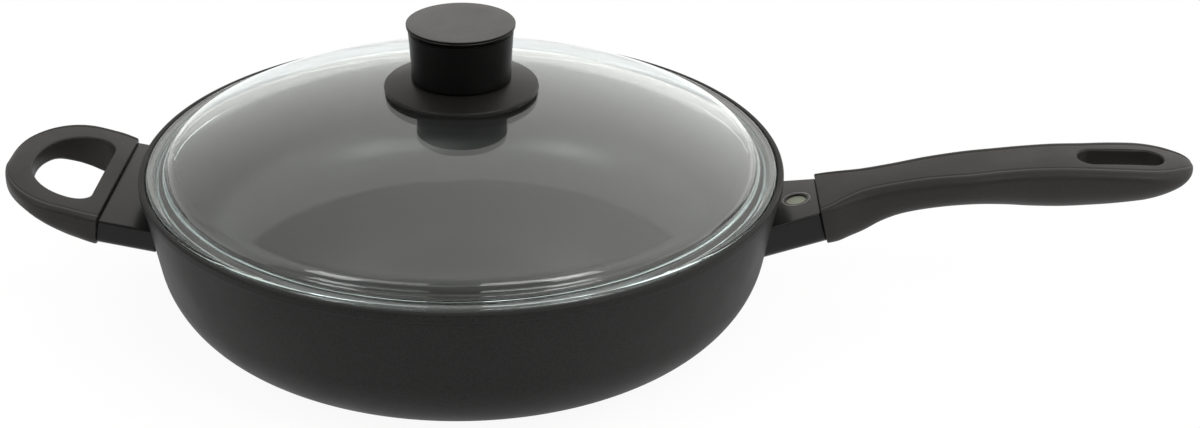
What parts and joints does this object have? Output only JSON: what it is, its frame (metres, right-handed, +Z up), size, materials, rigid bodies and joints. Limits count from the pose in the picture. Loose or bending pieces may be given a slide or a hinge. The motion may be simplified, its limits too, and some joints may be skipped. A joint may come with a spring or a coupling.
{
  "type": "braising pan",
  "caption": "Shallow round pan with a domed glass lid and flat knob, a long handle with a hanging slot and a loop handle opposite it.",
  "frame": {"origin": "centre of the flat underside, where the pan stands", "axes": "+Z up, +X along the long handle, +Y to its left when seen from above"},
  "size_m": [0.5345, 0.29, 0.1376],
  "materials": {
    "coated_aluminium": "matt dark grey non-stick coating with fine speckle",
    "disc_steel": "satin",
    "bracket_metal": "cast",
    "neck_resin": "satin black",
    "handle_resin": "fine matt grain",
    "indicator": "matt grey-green",
    "screw_steel": "plain",
    "washer_steel": "plain",
    "glass": "clear, polished",
    "silicone": "matt",
    "knob_resin": "matt black",
    "cap_resin": "fine matt grain",
    "insert_brass": "plain"
  },
  "bodies": {
    "pan": {"pan_body": "coated_aluminium", "induction_disc": "disc_steel", "handle_bracket": "bracket_metal", "handle_neck": "neck_resin", "indicator_disc": "indicator", "long_handle": "handle_resin", "handle_screw": "screw_steel", "handle_washer": "washer_steel", "side_bracket": "bracket_metal", "side_neck": "neck_resin", "side_handle": "handle_resin", "side_screws": "screw_steel", "side_washers": "washer_steel"},
    "lid": {"lid_glass": "glass", "upper_seal": "silicone", "knob_flange": "knob_resin", "knob_body": "knob_resin", "knob_cap": "cap_resin", "knob_insert": "insert_brass", "lower_seal": "silicone", "knob_washer": "washer_steel", "knob_screw": "screw_steel"}
  },
  "joints": [
    {"name": "lid_lift", "type": "slide", "parent": "pan", "child": "lid", "axis": [0, 0, 1], "range_m": [0, 0.15]}
  ]
}
